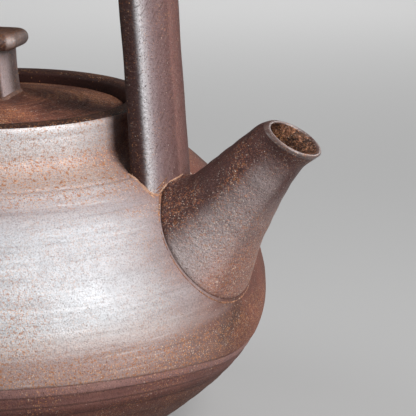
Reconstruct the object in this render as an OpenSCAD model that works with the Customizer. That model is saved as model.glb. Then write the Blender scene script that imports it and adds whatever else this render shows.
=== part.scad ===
// Stoneware teapot with a fixed overhead strap handle and a lift-off lid.
// Millimetres, +Z up. The origin is the middle of the foot, on the table.
// The spout points along +X and the handle arches over the lid in the XZ plane.

/* [Body] */
// Height of the rim above the table
rim_z = 106; // [102:1:110]
// Radius of the widest part of the belly
belly_r = 80.5; // [78:0.5:84]
// Height of the widest part of the belly
belly_z = 48; // [45:1:51]
// Radius of the foot
foot_r = 43; // [40:1:46]
// Height of the straight foot
foot_h = 4; // [3:0.5:6]
// Width of the ring that stands on the table
foot_ring_w = 9; // [6:0.5:12]
// Depth of the hollow turned under the foot
foot_recess = 2; // [1:0.5:3]
// Thickness of the wall at the belly
wall = 5; // [4:0.5:6]
// Thickness of the floor, measured from the table
floor_t = 6.5; // [5.5:0.5:8]

/* [Collar] */
// Width of the shoulder, from the belly's widest line in to the crease under the collar
shoulder_w = 25.9; // [25.1:0.2:26.7]
// Width of the collar's flare, from the neck out to the crease
collar_flare = 9.1; // [8.3:0.2:9.9]
// Height of the rim above that crease
collar_h = 15.8; // [14:0.2:17]
// Height of the straight neck below the rim
neck_h = 8; // [7:0.5:9]
// Thickness of the rim
rim_w = 6.5; // [5.5:0.5:7.5]
// Roundness of the rim's two edges
rim_round = 1.6; // [0.8:0.2:2.4]
// Width of the ledge that carries the lid
ledge_w = 6; // [5:0.5:8]
// Thickness of the ledge
ledge_t = 4.5; // [3.5:0.5:6]

/* [Lid] */
// Depth of the lid's edge below the rim
lid_drop = 3.7; // [2.5:0.1:5]
// Thickness of the lid's edge
lid_edge_t = 4.3; // [3.5:0.1:5]
// Height of the lid's crown above its edge
lid_rise = 3.9; // [3:0.1:5]
// Thickness of the lid at its crown
lid_crown_t = 5; // [4:0.5:6]
// Gap between the lid's edge and the neck
lid_gap = 1; // [0.6:0.1:1.5]
// Height of the locating ring under the lid
flange_h = 10; // [8:0.5:14]
// Thickness of the locating ring
flange_t = 4; // [3:0.5:5]
// Gap between the locating ring and the ledge
flange_gap = 0.7; // [0.4:0.1:1.2]
// Diameter of the steam hole
vent_d = 3.2; // [2.4:0.2:4]
// Distance of the steam hole's middle from the locating ring
vent_in = 9.3; // [7.1:0.2:11.1]
// Turn of the lid as it was put down
lid_turn = 14; // [0:1:45]

/* [Knob] */
// Height of the post above the lid's crown
post_h = 13.8; // [11:0.2:18]
// Thickness of the post at its foot
post_foot_x = 12; // [10:0.5:14]
// Thickness of the post under the cap
post_top_x = 9; // [7:0.5:12]
// Width of the post at its foot
post_foot_y = 15.6; // [12:0.2:17]
// Width of the post under the cap
post_top_y = 16.4; // [12:0.2:17]
// Length of the cap
cap_x = 18; // [17.5:0.5:22]
// Width of the cap
cap_y = 18.6; // [17.6:0.2:22]
// Thickness of the cap
cap_t = 4.8; // [4.4:0.2:6]
// Roundness of the cap's corners
cap_corner = 4.5; // [2.5:0.5:6]
// Roundness of the cap's edges
cap_edge = 2; // [1:0.1:2.1]
// Size of the seam at the post's foot
knob_seam = 1.2; // [0.8:0.1:2]

/* [Spout] */
// Distance of the mouth's centre beyond the handle's arch
spout_out = 41.5; // [39.5:0.5:44.5]
// Depth of the mouth's centre below the rim
spout_drop = 2.8; // [1:0.2:5]
// Rise of the spout above the horizontal
spout_tilt = 48.5; // [47:0.5:51]
// Length of the spout's flare, from its mouth to its widest part
spout_len = 50; // [48:0.5:52]
// Length of the straight end that is cut away where the spout is fitted to the body
spout_tail = 8; // [6:0.5:10]
// Outer radius of the mouth
mouth_r = 8.2; // [7.4:0.2:9]
// Wall of the mouth
mouth_wall = 2.6; // [2:0.1:3]
// Roundness of the lip
lip_round = 1; // [0.6:0.1:1]
// Outer radius at the widest part
root_r = 24; // [23:0.5:25]
// Wall at the widest part
root_wall = 4; // [3:0.5:5]
// Size of the seam round the root
spout_seam = 1.6; // [1.2:0.1:2.2]
// Diameter of each strainer hole
strain_d = 3.6; // [2.8:0.1:3.8]
// Spacing of the strainer holes
strain_pitch = 5.6; // [5.2:0.1:6]
// Number of rings of strainer holes
strain_rings = 2; // [1:1:2]

/* [Handle] */
// Width of the strap
strap_w = 23; // [18:0.5:26]
// Thickness of the strap at its edges
strap_t = 5.6; // [4.6:0.1:6.6]
// Height of the soft ridge along the strap
strap_ridge = 2.9; // [1.5:0.1:3.5]
// Distance of the strap's outer corners inside the crease
strap_inset = 1.6; // [0.8:0.2:2.8]
// Height of the arch's centre above the rim
arch_rise = 41; // [36:1:55]
// Lean of the legs towards the pot's axis
leg_lean = 4.5; // [3:0.5:6]
// Size of the seam round each foot of the strap
strap_seam = 1.8; // [1.2:0.1:2.4]

/* [Hidden] */
$fn = 96;
steps = 14;
arc_steps = 5;
clay = [0.60, 0.46, 0.42];
pale_clay = [0.74, 0.65, 0.63];
slip = [0.70, 0.45, 0.34];

// Heights that the lid and the body share
lid_edge_z = rim_z - lid_drop;
seat_z = lid_edge_z - lid_edge_t;
crown_z = lid_edge_z + lid_rise;
cap_z = crown_z + post_h;
crease_z = rim_z - collar_h;
neck_z = rim_z - neck_h;

// Radii that follow each other inwards from the belly
crease_r = belly_r - shoulder_w;
neck_r = crease_r - collar_flare;
arch_r = crease_r - strap_inset;
spout_reach = arch_r + spout_out;

// Radii that the lid and the body share
neck_in_r = neck_r - rim_w;
ledge_r = neck_in_r - ledge_w;
lid_r = neck_in_r - lid_gap;
flange_r = ledge_r - flange_gap;
flange_in_r = flange_r - flange_t;
vent_r = flange_in_r - vent_in;

// Overlap of cutting shapes past the faces that they cut
over = 1;

// Fullness of the body's curves, as shares of each stretch between two of its points
low_full = [[0.69, 0.50], [1, 0.68]];
high_full = [[1, 0.355], [0.633, 0.711]];
neck_full = [[0.59, 0.18], [0.05, 0.385]];

// Fullness of the spout's side, as shares of its widening and of its length
spout_full = [[0, 0.3], [0.27, 0.62]];

// Fullness of the lid's crown and of the hollow under it, as shares of their radius and height
crown_full = [[0.72, 0.45], [0.4, 1]];
hollow_full = [[0.4, 0], [0.8, 0.4]];

// Curves

function bezier(p, t) =
    pow(1 - t, 3) * p[0] + 3 * t * pow(1 - t, 2) * p[1]
    + 3 * t * t * (1 - t) * p[2] + pow(t, 3) * p[3];
function curve(p, n = steps) = [for (i = [0:n]) bezier(p, i / n)];
function tail(points) = [for (i = [1:len(points) - 1]) points[i]];
function reversed(points) = [for (i = [len(points) - 1:-1:0]) points[i]];
function widened(points, by) = [for (p = points) [p[0] + by, p[1]]];
function raised(points, by) = [for (p = points) [p[0], p[1] + by]];
function share(a, b, s) = a + s * (b - a);
function rising(a, b, full) = [
    a,
    [share(a[0], b[0], full[0][0]), share(a[1], b[1], full[0][1])],
    [share(a[0], b[0], full[1][0]), share(a[1], b[1], full[1][1])],
    b
];
function falling(a, b, full) = [
    a,
    [share(b[0], a[0], full[0][0]), share(a[1], b[1], full[0][1])],
    [share(b[0], a[0], full[1][0]), share(a[1], b[1], full[1][1])],
    b
];
function arc(centre, r, from, to) = [
    for (i = [0:arc_steps])
        let (angle = share(from, to, i / arc_steps))
        centre + r * [cos(angle), sin(angle)]
];

// Body

foot_top = [foot_r, foot_h];
belly = [belly_r, belly_z];
crease = [crease_r, crease_z];
neck = [neck_r, neck_z];

outer_line = concat(
    [[foot_r, 0]],
    curve(rising(foot_top, belly, low_full)),
    tail(curve(falling(belly, crease, high_full))),
    tail(curve(falling(crease, neck, neck_full))),
    arc([neck_r - rim_round, rim_z - rim_round], rim_round, 0, 90)
);

floor_edge = [foot_r - floor_t, floor_t];
inner_belly = [belly_r - wall, belly_z];
inner_shoulder = [crease_r - wall, crease_z - wall];
inner_neck = [neck_r - wall / 2, crease_z];

inner_line = concat(
    arc([neck_in_r + rim_round, rim_z - rim_round], rim_round, 90, 180),
    [[neck_in_r, seat_z], [ledge_r, seat_z], [ledge_r, seat_z - ledge_t], inner_neck],
    reversed(curve(falling(inner_belly, inner_shoulder, high_full))),
    tail(reversed(curve(rising(floor_edge, inner_belly, low_full))))
);

under_line = [[0, floor_t], [0, foot_recess], [foot_r - foot_ring_w, foot_recess], [foot_r - foot_ring_w, 0]];

module body_block(by = 0) {
    rotate_extrude()
        polygon(concat([[0, 0]], widened(outer_line, by), [[0, rim_z]]));
}

module body_shell() {
    color(clay)
        difference() {
            rotate_extrude()
                polygon(concat(outer_line, inner_line, under_line));
            strainer_holes();
        }
}

// Spout

module at_mouth() {
    translate([spout_reach, 0, rim_z - spout_drop])
        rotate([0, 90 - spout_tilt, 0])
            children();
}

function spout_side(mouth, root) = [
    [mouth, 0],
    [share(mouth, root, spout_full[0][0]), -spout_full[0][1] * spout_len],
    [share(mouth, root, spout_full[1][0]), -spout_full[1][1] * spout_len],
    [root, -spout_len]
];

spout_end = -spout_len - spout_tail;
bore_line = concat(
    curve(spout_side(mouth_r - mouth_wall, root_r - root_wall)),
    [[root_r - root_wall, spout_end]]
);
spout_line = concat(
    arc([mouth_r - lip_round, -lip_round], lip_round, 90, 0),
    tail(curve(spout_side(mouth_r, root_r))),
    [[root_r, spout_end]]
);

module spout_block(by = 0) {
    at_mouth()
        rotate_extrude()
            polygon(concat([[0, 0]], widened(spout_line, by), [[0, spout_end]]));
}

module spout() {
    color(pale_clay)
        difference() {
            at_mouth()
                rotate_extrude()
                    polygon(concat(spout_line, reversed(bore_line)));
            body_block();
            strap_block(strap_seam);
        }
}

module strainer_holes() {
    reach = 2 * (root_r - root_wall);
    start = -spout_len - reach / 3;
    at_mouth()
        for (ring = [0:strain_rings])
            for (k = [0:max(6 * ring - 1, 0)])
                rotate([0, 0, 60 * k / max(ring, 1)])
                    translate([ring * strain_pitch, 0, start])
                        cylinder(d = strain_d, h = reach);
}

module spout_lute() {
    color(slip)
        difference() {
            intersection() {
                spout_block(spout_seam);
                body_block(spout_seam);
            }
            spout_block();
            body_block();
            strap_block(strap_seam);
        }
}

// Handle

arch_z = rim_z + arch_rise;
leg_len = arch_z - belly_z - wall;

function strap_section(by) = [
    [arch_r - strap_t - by, -strap_w / 2 - by],
    [arch_r + by, -strap_w / 2 - by],
    [arch_r + strap_ridge + by, 0],
    [arch_r + by, strap_w / 2 + by],
    [arch_r - strap_t - by, strap_w / 2 + by]
];

module leg(by) {
    rotate([90, 0, 0])
        rotate([0, 0, leg_lean])
            rotate([90, 0, 0])
                linear_extrude(leg_len)
                    polygon(strap_section(by));
}

module half_strap(by) {
    intersection() {
        union() {
            leg(by);
            rotate([90, 0, 0])
                rotate([0, 0, leg_lean])
                    rotate_extrude(angle = 90)
                        polygon(strap_section(by));
        }
        translate([0, -arch_r, -2 * leg_len])
            cube([2 * arch_r, 2 * arch_r, 2 * leg_len + 2 * arch_r]);
    }
}

module strap_block(by = 0) {
    translate([0, 0, arch_z]) {
        half_strap(by);
        mirror([1, 0, 0])
            half_strap(by);
    }
}

module handle_strap() {
    color(clay)
        difference() {
            strap_block();
            body_block();
        }
}

module foot_lute(side) {
    difference() {
        intersection() {
            translate([0, 0, arch_z])
                mirror([side < 0 ? 1 : 0, 0, 0])
                    leg(strap_seam);
            body_block(strap_seam);
        }
        strap_block();
        body_block();
    }
}

module front_handle_lute() {
    color(slip)
        foot_lute(1);
}

module rear_handle_lute() {
    color(slip)
        foot_lute(-1);
}

// Lid

crown_line = curve([
    [lid_r, lid_edge_z],
    [crown_full[0][0] * lid_r, share(lid_edge_z, crown_z, crown_full[0][1])],
    [crown_full[1][0] * lid_r, share(lid_edge_z, crown_z, crown_full[1][1])],
    [0, crown_z]
]);
hollow_z = crown_z - lid_crown_t;
hollow_line = curve([
    [0, hollow_z],
    [hollow_full[0][0] * flange_in_r, share(hollow_z, seat_z, hollow_full[0][1])],
    [hollow_full[1][0] * flange_in_r, share(hollow_z, seat_z, hollow_full[1][1])],
    [flange_in_r, seat_z]
]);

module lid_block(by = 0) {
    rotate_extrude()
        polygon(concat([[0, seat_z], [lid_r, seat_z]], raised(crown_line, by)));
}

module lid_plate() {
    color(clay)
        difference() {
            rotate_extrude()
                polygon(concat(hollow_line, [[lid_r, seat_z]], crown_line));
            rotate([0, 0, lid_turn])
                translate([-vent_r, 0, seat_z - over])
                    cylinder(d = vent_d, h = crown_z - seat_z + 2 * over);
        }
}

module lid_flange() {
    color(clay)
        translate([0, 0, seat_z - flange_h])
            difference() {
                cylinder(r = flange_r, h = flange_h);
                translate([0, 0, -over])
                    cylinder(r = flange_in_r, h = flange_h + 2 * over);
            }
}

// Knob

module upright(outline, depth) {
    rotate([90, 0, 0])
        linear_extrude(depth, center = true)
            polygon(outline);
}

function post_outline(foot, top) = [
    [-foot / 2, seat_z],
    [foot / 2, seat_z],
    [foot / 2, crown_z],
    [top / 2, cap_z],
    [-top / 2, cap_z],
    [-foot / 2, crown_z]
];

module post_block(by = 0) {
    depth = 2 * max(post_foot_x, post_top_x, post_foot_y, post_top_y);
    rotate([0, 0, lid_turn])
        intersection() {
            upright(post_outline(post_foot_x + 2 * by, post_top_x + 2 * by), depth);
            rotate([0, 0, 90])
                upright(post_outline(post_foot_y + 2 * by, post_top_y + 2 * by), depth);
        }
}

module knob_stem() {
    color(pale_clay)
        difference() {
            post_block();
            lid_block();
        }
}

module knob_lute() {
    color(slip)
        difference() {
            intersection() {
                post_block(knob_seam);
                lid_block(knob_seam);
            }
            post_block();
            lid_block();
        }
}

module rounded_slab(x, y, height, r) {
    linear_extrude(height, center = true)
        union() {
            square([x - 2 * r, y], center = true);
            square([x, y - 2 * r], center = true);
            for (i = [-1, 1], k = [-1, 1])
                translate([i * (x / 2 - r), k * (y / 2 - r)])
                    circle(r);
        }
}

module knob_cap() {
    color(clay)
        translate([0, 0, cap_z + cap_t / 2])
            rotate([0, 0, lid_turn])
                intersection() {
                    rounded_slab(cap_x, cap_y, cap_t, cap_corner);
                    rotate([90, 0, 0])
                        rounded_slab(cap_x, cap_t, cap_y, cap_edge);
                    rotate([90, 0, 90])
                        rounded_slab(cap_y, cap_t, cap_x, cap_edge);
                }
}

body_shell();
spout();
spout_lute();
handle_strap();
front_handle_lute();
rear_handle_lute();
lid_plate();
lid_flange();
knob_lute();
knob_stem();
knob_cap();
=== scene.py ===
"""Stoneware teapot: modelled clay pieces, their materials, the studio light and the camera."""
import math

import bmesh
import bpy
import numpy as np
from mathutils import Matrix, Vector

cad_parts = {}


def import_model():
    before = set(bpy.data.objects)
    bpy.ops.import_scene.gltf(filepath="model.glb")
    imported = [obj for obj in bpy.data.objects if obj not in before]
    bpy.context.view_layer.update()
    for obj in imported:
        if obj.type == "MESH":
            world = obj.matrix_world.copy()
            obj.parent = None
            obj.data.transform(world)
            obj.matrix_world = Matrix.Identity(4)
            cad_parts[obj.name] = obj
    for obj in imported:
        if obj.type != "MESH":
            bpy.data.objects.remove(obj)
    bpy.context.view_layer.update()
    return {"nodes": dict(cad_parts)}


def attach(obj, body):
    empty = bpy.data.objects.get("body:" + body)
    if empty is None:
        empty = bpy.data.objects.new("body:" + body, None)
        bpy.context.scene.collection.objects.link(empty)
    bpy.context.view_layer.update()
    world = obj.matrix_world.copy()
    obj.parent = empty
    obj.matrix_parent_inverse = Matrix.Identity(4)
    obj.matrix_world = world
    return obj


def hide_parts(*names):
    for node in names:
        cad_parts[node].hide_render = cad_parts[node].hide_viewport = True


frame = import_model()

MM = 0.001
TAU = 2 * math.pi
UP = (0, 0, 1)
ACROSS = (0, 1, 0)
LEVEL = (0, 0, 0)

# Sizes of the solids, in millimetres

RIM_Z = 106.0
BELLY = (80.5, 48.0)
FOOT_R = 43.0
FOOT_H = 4.0
FOOT_RING_W = 9.0
FOOT_RECESS = 2.0
WALL = 5.0
FLOOR_T = 6.5
CREASE = (54.6, 90.2)
NECK = (45.5, 98.0)
NECK_IN_R = 39.0
RIM_ROUND = 1.6
SEAT_Z = 98.0
LEDGE_R = 33.0
LEDGE_T = 4.5
LOW_FULL = ((0.69, 0.5), (1.0, 0.68))
HIGH_FULL = ((1.0, 0.355), (0.633, 0.711))
NECK_FULL = ((0.59, 0.18), (0.05, 0.385))

LID_R = 38.0
LID_EDGE_Z = 102.3
CROWN_Z = 106.2
HOLLOW_Z = 101.2
FLANGE_IN_R = 28.3
VENT_R = 19.0
VENT_D = 3.2
LID_TURN = math.radians(14)

CAP_Z = 120.0
CAP_T = 4.8
CAP_HALF = (9.0, 9.3)
CAP_CORNER = 4.5
POST_FOOT_HALF = (6.0, 7.8)
POST_TOP_HALF = (4.5, 8.2)
POST_CORNER = 1.3

MOUTH = (94.5, 0, 103.2)
SPOUT_TILT = math.radians(48.5)
STRAIN_D = 3.6
STRAIN_PITCH = 5.6
STRAIN_RINGS = 2
STRAIN_SPAN = (23.3, 63.3)

ARCH_R = 53.0
ARCH_Z = 147.0
LEG_LEAN = math.radians(4.5)
STRAP_HALF = 11.5
STRAP_T = 5.6
STRAP_RIDGE = 2.9
STRAP_BEVEL = 0.9

# Directions of the spout, and its mouth in metres

SPOUT_AXIS = (math.cos(SPOUT_TILT), 0, math.sin(SPOUT_TILT))
SPOUT_UP = (-math.sin(SPOUT_TILT), 0, math.cos(SPOUT_TILT))
SPOUT_MOUTH = tuple(MM * place for place in MOUTH)


# Lines and curves

CURVE_POINTS = 160
FINE_STEP = 0.1


def bezier(p):
    t = np.linspace(0, 1, CURVE_POINTS)[:, None]
    p = np.array(p, float)
    return ((1 - t) ** 3 * p[0] + 3 * t * (1 - t) ** 2 * p[1]
            + 3 * t ** 2 * (1 - t) * p[2] + t ** 3 * p[3])


def share(a, b, s):
    return a + s * (b - a)


def bowed(a, b, full):
    """Curve up from a to b. Full is its fullness at two places, across from the narrow end and up from a."""
    near, far = sorted((a[0], b[0]))
    return bezier([a, *((share(near, far, x), share(a[1], b[1], z)) for x, z in full), b])


def arc(centre, r, start, end, n=12):
    angle = np.radians(np.linspace(start, end, n))
    return np.stack([centre[0] + r * np.cos(angle), centre[1] + r * np.sin(angle)], 1)


def turns(n):
    """Even angles round a circle."""
    return np.arange(n) * TAU / n


def unit(vectors):
    return vectors / np.linalg.norm(vectors, axis=-1, keepdims=True)


def nearest(points, place):
    """Number of the point nearest to a place."""
    return np.argmin(np.linalg.norm(points - place, axis=1))


def along(points):
    """Distance of each point from the first, along the line."""
    steps = np.linalg.norm(np.diff(points, axis=0), axis=1)
    return np.concatenate([[0], np.cumsum(steps)])


def spaced(points, step):
    """The line at an even spacing."""
    points = np.asarray(points, float)
    reach = along(points)
    at = np.linspace(0, reach[-1], int(round(reach[-1] / step)) + 1)
    return np.stack([np.interp(at, reach, points[:, k]) for k in range(points.shape[1])], 1)


def softened(points, spread, closed=False):
    """The line with its corners rounded, at a fine even spacing."""
    fine = spaced(points, FINE_STEP)
    if closed:
        fine = fine[:-1]
    reach = int(3 * spread / FINE_STEP)
    kernel = np.exp(-0.5 * (np.arange(-reach, reach + 1) * FINE_STEP / spread) ** 2)
    kernel /= kernel.sum()
    if closed:
        padded = np.vstack([fine[-reach:], fine, fine[:reach]])
    else:
        before = 2 * fine[:1] - fine[reach:0:-1]
        after = 2 * fine[-1:] - fine[-2:-reach - 2:-1]
        padded = np.vstack([before, fine, after])
    return np.stack([np.convolve(padded[:, k], kernel, "valid") for k in range(2)], 1)


def thinned(fine, spacing):
    """The line at the given spacing, which may differ from point to point."""
    steps = np.linalg.norm(np.diff(fine, axis=0), axis=1)
    count = np.concatenate([[0], np.cumsum(steps / spacing[1:])])
    at = np.linspace(0, count[-1], int(round(count[-1])) + 1)
    return np.stack([np.interp(at, count, fine[:, k]) for k in range(2)], 1)


def through(at, keys, values):
    """Smooth curve through the values at the keys."""
    keys = np.asarray(keys, float)
    values = np.asarray(values, float)
    slope = np.gradient(values, keys)
    i = np.clip(np.searchsorted(keys, at, "right") - 1, 0, len(keys) - 2)
    h = keys[i + 1] - keys[i]
    s = (at - keys[i]) / h
    return ((2 * s ** 3 - 3 * s ** 2 + 1) * values[i] + (s ** 3 - 2 * s ** 2 + s) * h * slope[i]
            + (3 * s ** 2 - 2 * s ** 3) * values[i + 1] + (s ** 3 - s ** 2) * h * slope[i + 1])


def bump(x, middle, width):
    return np.exp(-((x - middle) / width) ** 2)


def smooth_step(x, low, high):
    s = np.clip((x - low) / (high - low), 0, 1)
    return s * s * (3 - 2 * s)


def wander(angle, rng, size, waves=5):
    """Slow wave round the pot, as a hand on the wheel leaves it."""
    total = np.zeros_like(angle)
    for k in range(1, waves + 1):
        total += rng.normal() / k * np.cos(k * angle + rng.uniform(0, TAU))
    return size * total


# Meshes

DRILL_SEGMENTS = 24


def quads(rows, cols, wrap_rows=False):
    i, j = np.meshgrid(np.arange(rows if wrap_rows else rows - 1), np.arange(cols), indexing="ij")
    down = (i + 1) % rows
    right = (j + 1) % cols
    return np.stack([i * cols + j, i * cols + right, down * cols + right, down * cols + j], -1).reshape(-1, 4)


def linked(name, data):
    """A new object in the scene."""
    made = bpy.data.objects.new(name, data)
    bpy.context.scene.collection.objects.link(made)
    return made


def new_object(name, points, faces):
    mesh = bpy.data.meshes.new(name)
    mesh.from_pydata((np.asarray(points, float) * MM).tolist(), [], [list(map(int, f)) for f in faces])
    b = bmesh.new()
    b.from_mesh(mesh)
    bmesh.ops.recalc_face_normals(b, faces=b.faces)
    b.to_mesh(mesh)
    b.free()
    mesh.shade_smooth()
    return linked(name, mesh)


def shell(grid, wrap_rows=False):
    """Points and faces of a tube of rings, closed on itself or capped at each end."""
    rows, cols = grid.shape[:2]
    points = grid.reshape(-1, 3)
    faces = quads(rows, cols, wrap_rows).tolist()
    if not wrap_rows:
        points = np.concatenate([points, grid[0].mean(0)[None], grid[-1].mean(0)[None]])
        last = (rows - 1) * cols
        for j in range(cols):
            k = (j + 1) % cols
            faces.append([rows * cols, k, j])
            faces.append([rows * cols + 1, last + j, last + k])
    return points, faces


def grid_object(name, grid, wrap_rows=False):
    return new_object(name, *shell(grid, wrap_rows))


def joined_object(name, shells):
    """Several shells in one object."""
    points = np.vstack([p for p, f in shells])
    start = np.cumsum([0] + [len(p) for p, f in shells])
    faces = [[v + first for v in face] for first, (p, f) in zip(start, shells) for face in f]
    return new_object(name, points, faces)


def lathe(profile, segments, relief):
    """Rings of points round the pot's axis. Relief stands off the profile along its normal."""
    angle = turns(segments)
    tangent = unit(np.gradient(profile, axis=0))
    r = profile[:, :1] + relief * tangent[:, 1:]
    z = profile[:, 1:] - relief * tangent[:, :1]
    return np.stack([r * np.cos(angle), r * np.sin(angle), z], -1)


def drilled(piece, drill):
    """Cuts the drill's shape out of the piece."""
    cut = piece.modifiers.new("cut", "BOOLEAN")
    cut.object = drill
    cut.operation = "DIFFERENCE"
    cut.solver = "MANIFOLD"
    bpy.context.view_layer.update()
    graph = bpy.context.evaluated_depsgraph_get()
    mesh = bpy.data.meshes.new_from_object(piece.evaluated_get(graph))
    piece.modifiers.clear()
    piece.data = mesh
    mesh.shade_smooth()
    bpy.data.objects.remove(drill)


def round_drill(starts, ends, r):
    """Straight round bars, one between each pair of points, in one object."""
    points = []
    faces = []
    angle = turns(DRILL_SEGMENTS)[:, None]
    for start, end in zip(starts, ends):
        axis = unit(end - start)
        side = unit(np.cross(axis, ACROSS))
        ring = r * (np.cos(angle) * side + np.sin(angle) * np.cross(axis, side))
        first = len(points) * 2 * DRILL_SEGMENTS
        points.append(np.vstack([start + ring, end + ring]))
        faces += (quads(2, DRILL_SEGMENTS) + first).tolist()
        faces.append([first + k for k in range(DRILL_SEGMENTS)])
        faces.append([first + DRILL_SEGMENTS + k for k in range(DRILL_SEGMENTS)])
    return new_object("drill", np.vstack(points), faces)


def gathered(items, field):
    """A field of three numbers of every face or point."""
    values = np.empty(len(items) * 3)
    items.foreach_get(field, values)
    return values.reshape(-1, 3)


def dressed(piece, body, slot, node, *materials, finish=None):
    """Gives the piece its materials, by number for each face, and sets it on its body in place of its solid."""
    piece.data.materials.clear()
    for material in materials:
        piece.data.materials.append(material)
    if finish is not None:
        piece.data.polygons.foreach_set("material_index", finish.astype(np.int32))
    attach(piece, body)
    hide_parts(node)


# Material nodes

class Shader:
    """Builds one material, of values that follow the place in the part's own frame."""

    def __init__(self, name):
        self.material = bpy.data.materials.new(name)
        self.material.use_nodes = True
        self.tree = self.material.node_tree
        self.tree.nodes.clear()
        self.place = self.node("ShaderNodeTexCoord", {}).outputs["Object"]

    def node(self, kind, sockets, **settings):
        """A new node with its settings, and a value or a link on each of the sockets."""
        made = self.tree.nodes.new(kind)
        for key, value in settings.items():
            setattr(made, key, value)
        for key, value in sockets.items():
            if isinstance(value, bpy.types.NodeSocket):
                self.tree.links.new(value, made.inputs[key])
            else:
                made.inputs[key].default_value = value
        return made

    def stretched(self, x, y, z, turn=LEVEL):
        """The place in turned axes, drawn out along each axis where its number is below 1."""
        sockets = {"Vector": self.place, "Rotation": turn, "Scale": (1 / x, 1 / y, 1 / z)}
        return self.node("ShaderNodeMapping", sockets, vector_type="TEXTURE").outputs["Vector"]

    def noise(self, scale, detail, rough=0.55, place=None):
        sockets = {"Vector": place or self.place, "Scale": scale, "Detail": detail, "Roughness": rough}
        return self.node("ShaderNodeTexNoise", sockets).outputs["Fac"]

    def flat(self):
        """The place at the height of the foot."""
        return self.vector("MULTIPLY", self.place, (1, 1, 0))

    def off_axis(self):
        """Distance from the pot's axis."""
        return self.vector("LENGTH", self.flat())

    def rings(self, scale):
        """Noise that follows the distance from the pot's axis."""
        sockets = {"W": self.off_axis(), "Scale": scale, "Detail": 3.0}
        return self.node("ShaderNodeTexNoise", sockets, noise_dimensions="1D").outputs["Fac"]

    def math(self, operation, a, b):
        return self.node("ShaderNodeMath", {0: a, 1: b}, operation=operation).outputs[0]

    def times(self, value, *others):
        for other in others:
            value = self.math("MULTIPLY", value, other)
        return value

    def most(self, value, *others):
        for other in others:
            value = self.math("MAXIMUM", value, other)
        return value

    def span(self, value, low, high, to_low=0.0, to_high=1.0, kind="SMOOTHSTEP"):
        """The value's way from low to high, led over to other bounds."""
        sockets = {"Value": value, "From Min": low, "From Max": high, "To Min": to_low, "To Max": to_high}
        return self.node("ShaderNodeMapRange", sockets, interpolation_type=kind).outputs["Result"]

    def specks(self, scale, size, chance):
        """Mask of grains in about the given share of cells, and a number for each grain."""
        cells = self.node("ShaderNodeTexVoronoi", {"Vector": self.place, "Scale": scale}).outputs
        near = self.span(cells["Distance"], size * 0.45, size, 1.0, 0.0)
        pick = self.node("ShaderNodeSeparateColor", {"Color": cells["Color"]}).outputs
        chosen = self.math("LESS_THAN", pick[0], chance)
        strength = self.span(pick[1], 0.0, 1.0, 0.35, 1.0, "LINEAR")
        return self.times(near, chosen, strength), pick[2]

    def mix(self, factor, a, b, blend="MIX"):
        a, b = (c if isinstance(c, bpy.types.NodeSocket) else (*c, 1.0) for c in (a, b))
        return self.node("ShaderNodeMix", {0: factor, 6: a, 7: b}, data_type="RGBA", blend_type=blend).outputs[2]

    def ramp(self, value, stops):
        made = self.node("ShaderNodeValToRGB", {"Fac": value})
        stop = made.color_ramp.elements
        while len(stop) < len(stops):
            stop.new(0.5)
        for k, (at, colour) in enumerate(stops):
            stop[k].position = at
            stop[k].color = (*colour, 1.0)
        return made.outputs["Color"]

    def vector(self, operation, a, b=(0, 0, 0)):
        made = self.node("ShaderNodeVectorMath", {0: a, 1: b}, operation=operation)
        return made.outputs["Value" if operation in ("DOT_PRODUCT", "LENGTH") else "Vector"]

    def banded(self, place, stops, length=MM):
        """Colours that follow one another at the given places, by default in millimetres."""
        first, last = stops[0][0], stops[-1][0]
        place = self.span(place, first * length, last * length, kind="LINEAR")
        return self.ramp(place, [((at - first) / (last - first), colour) for at, colour in stops])

    def attribute(self, name):
        return self.node("ShaderNodeAttribute", {}, attribute_name=name).outputs["Fac"]

    def along(self, direction, start=(0, 0, 0)):
        """Distance along a direction from a point."""
        begin = sum(a * b for a, b in zip(direction, start))
        return self.math("SUBTRACT", self.vector("DOT_PRODUCT", self.place, direction), begin)

    def facing(self, azimuth):
        """How squarely a place faces an azimuth or its opposite, from 0 to 1."""
        angle = math.radians(azimuth)
        direction = (math.cos(angle), math.sin(angle), 0)
        return self.math("ABSOLUTE", self.vector("DOT_PRODUCT", self.vector("NORMALIZE", self.flat()), direction), 0)

    def raised(self, height, relief, under=None):
        """The normals that a height leaves, over those under it. Relief is its strength and its depth."""
        sockets = {"Strength": relief[0], "Distance": relief[1], "Height": height}
        if under is not None:
            sockets["Normal"] = under
        return self.node("ShaderNodeBump", sockets).outputs["Normal"]

    def finish(self, sockets):
        """The material, with these values or links on its surface."""
        surface = self.node("ShaderNodeBsdfPrincipled", sockets).outputs["BSDF"]
        self.node("ShaderNodeOutputMaterial", {"Surface": surface})
        return self.material


# Clay: names of the places stored on the meshes, then colours

SECTION = "section"
TRIM = "trim"
DARK = (0.055, 0.025, 0.019)
PALE = (0.52, 0.43, 0.37)
PIT = (0.06, 0.03, 0.024)
FLECK = (0.38, 0.145, 0.05)
GRAINS = (
    (0.0, (0.15, 0.05, 0.028)), (0.25, (0.4, 0.13, 0.045)), (0.55, (0.66, 0.27, 0.085)),
    (0.85, (0.7, 0.4, 0.2)), (1.0, (0.76, 0.63, 0.53)))
SPOUT_GRAINS = (
    (0.0, (0.15, 0.05, 0.03)), (0.35, (0.36, 0.1, 0.045)), (0.65, (0.54, 0.19, 0.085)),
    (0.85, (0.64, 0.42, 0.29)), (1.0, (0.8, 0.72, 0.62)))

# Cells per metre of each noise, for grains also their size and share, and strength and depth of each relief

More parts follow.
